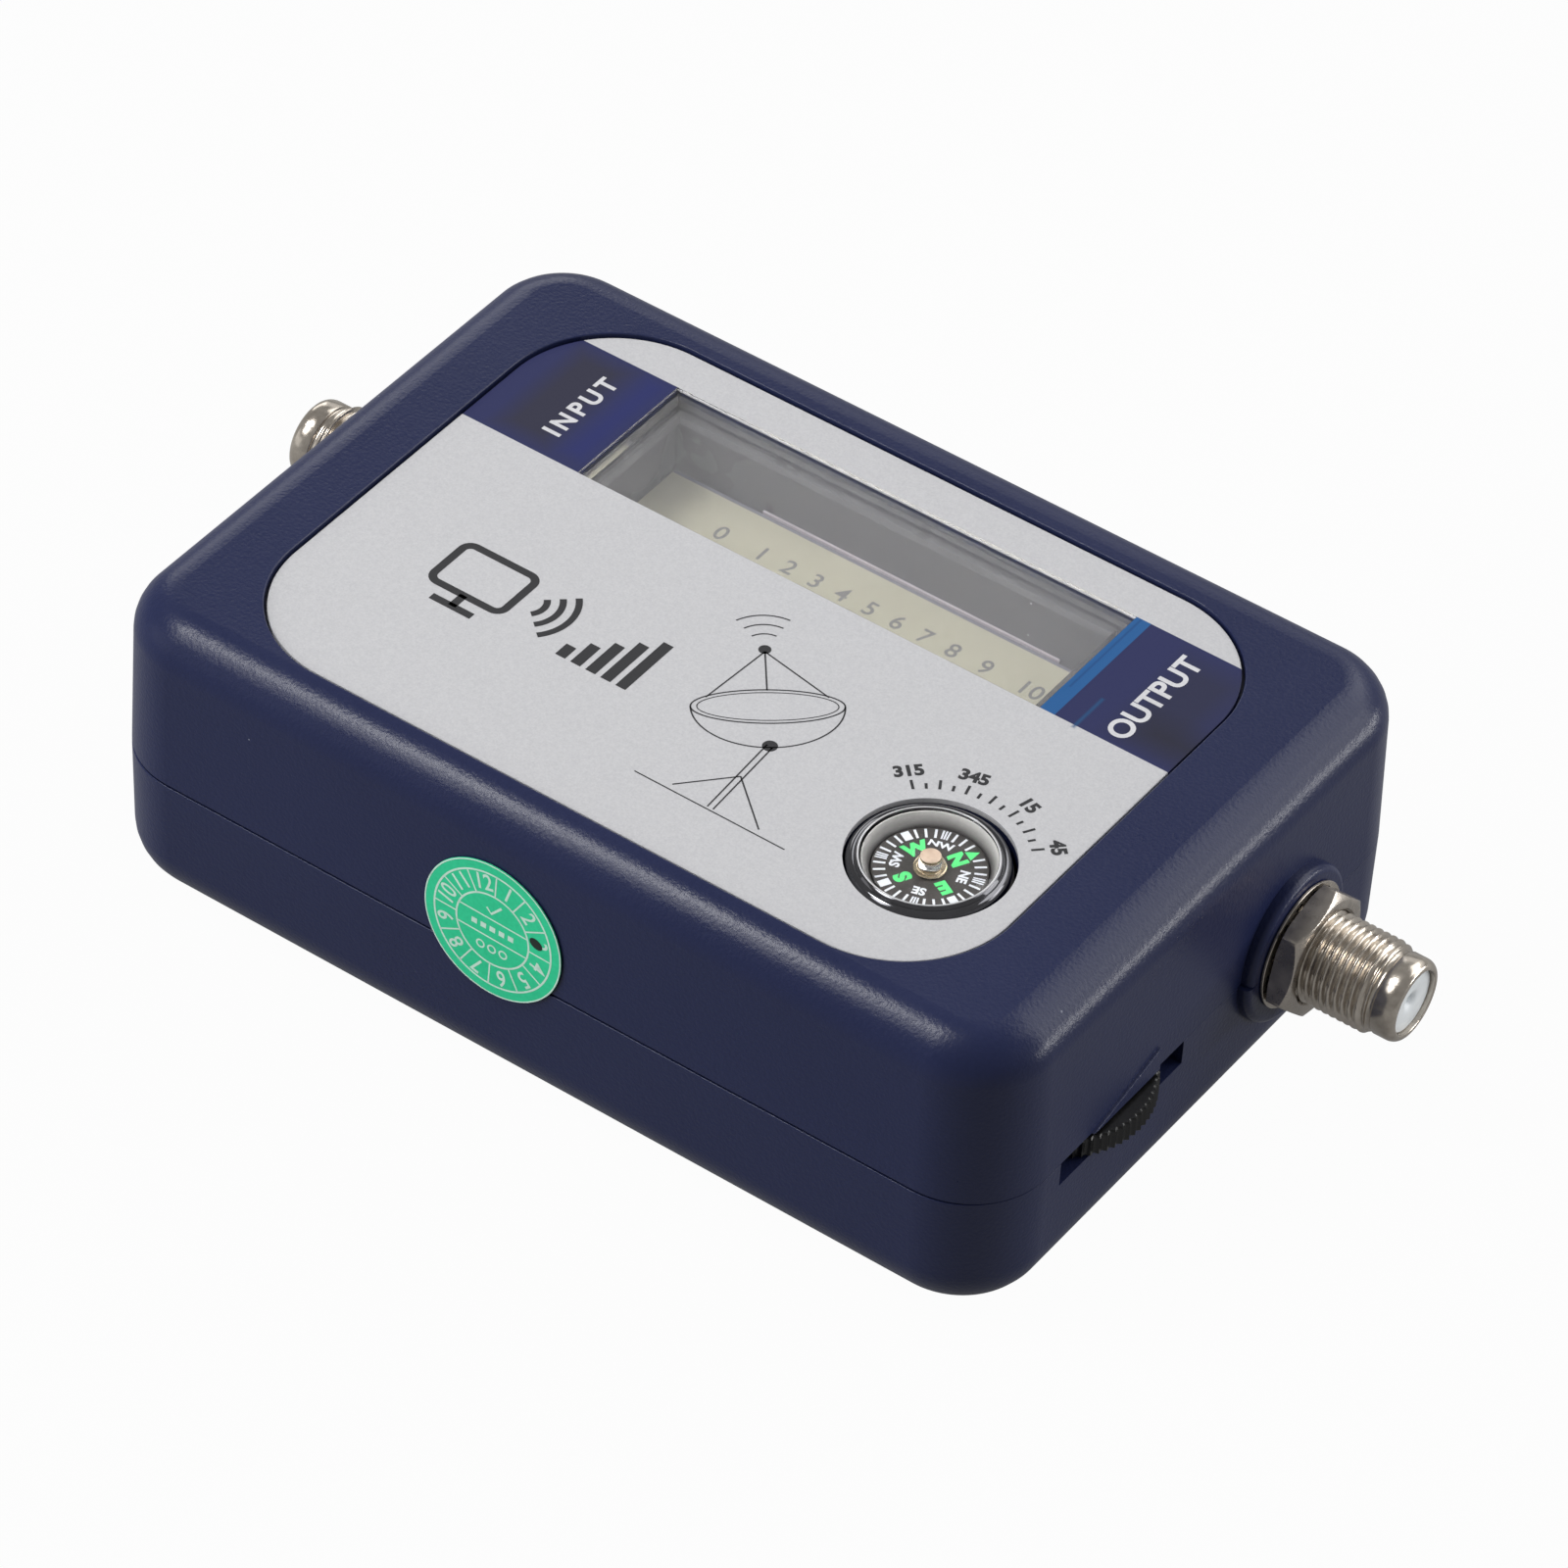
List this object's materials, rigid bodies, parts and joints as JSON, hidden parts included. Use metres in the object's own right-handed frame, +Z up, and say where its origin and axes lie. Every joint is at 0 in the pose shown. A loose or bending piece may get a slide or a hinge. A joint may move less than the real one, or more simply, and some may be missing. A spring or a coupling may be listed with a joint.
{
  "type": "signal finder",
  "caption": "Hand-held signal finder: a rounded case with a needle meter behind a window, a small compass, an edge thumbwheel and a threaded coaxial connector at each end.",
  "frame": {"origin": "centre of the case's flat underside", "axes": "+X along the case towards the thumbwheel end, +Y towards the long side that the scale lies near, +Z up out of the face label"},
  "size_m": [0.1302, 0.0711, 0.0342],
  "materials": {
    "navy_plastic": "satin moulded plastic with a fine grain",
    "silver_print": "matt silver screen print with a fine speckle",
    "clear_plastic": "clear moulded plastic",
    "grey_plastic": "smooth grey plastic",
    "cream_paint": "matt cream paint with printed scale",
    "black_plastic": "satin black plastic",
    "nickel": "bright nickel plating",
    "steel": "plain zinc-plated steel",
    "brass": "turned brass",
    "copper_wire": "enamelled copper wire",
    "white_plastic": "white insulating plastic",
    "board_green": "green solder mask",
    "green_sticker": "printed paper-like film"
  },
  "bodies": {
    "case": {"upper_shell": "navy_plastic", "lower_shell": "navy_plastic", "case_screw_1": "steel", "case_screw_2": "steel", "case_screw_3": "steel", "case_screw_4": "steel", "face_label": "silver_print", "inspection_sticker": "green_sticker", "meter_tray": "grey_plastic", "meter_cover": "clear_plastic", "scale_plate": "cream_paint", "meter_magnet": "steel", "meter_yoke": "steel", "hairspring": "brass", "bearing_bridge": "brass", "bearing_screw": "steel", "meter_terminal_left": "brass", "meter_terminal_right": "brass", "compass_bowl": "grey_plastic", "compass_bezel": "nickel", "compass_lens": "clear_plastic", "compass_pivot": "steel", "circuit_board": "board_green", "board_screw_left": "steel", "board_screw_right": "steel", "amplifier_chip": "black_plastic", "capacitor_front": "black_plastic", "capacitor_rear": "black_plastic", "choke_coil": "copper_wire", "lamp_left": "clear_plastic", "lamp_right": "clear_plastic", "potentiometer_body": "black_plastic", "connector_body_right": "nickel", "connector_body_left": "nickel", "connector_insulator_right": "white_plastic", "connector_insulator_left": "white_plastic", "connector_contact_right": "brass", "connector_contact_left": "brass", "connector_nut_right": "nickel", "connector_nut_left": "nickel", "connector_washer_right": "nickel", "connector_washer_left": "nickel"},
    "needle": {"meter_needle": "black_plastic", "moving_coil": "copper_wire"},
    "rose": {"compass_card": "black_plastic", "compass_cap": "brass", "compass_magnet": "steel"},
    "wheel": {"thumbwheel": "black_plastic", "wheel_screw": "steel"}
  },
  "joints": [
    {"name": "needle_swing", "type": "hinge", "parent": "case", "child": "needle", "pos_m": [-0.0005, -0.0038, 0.0241], "axis": [0, 0, -1], "range_deg": [0, 80], "stiffness_Nm_per_rad": 0.00002},
    {"name": "rose_turn", "type": "hinge", "parent": "case", "child": "rose", "pos_m": [0.02985, -0.015, 0.0325], "axis": [0, 0, 1], "continuous": true},
    {"name": "wheel_turn", "type": "hinge", "parent": "case", "child": "wheel", "pos_m": [0.0442, -0.014, 0.0139], "axis": [0, 0, 1], "range_deg": [-150, 150]}
  ]
}
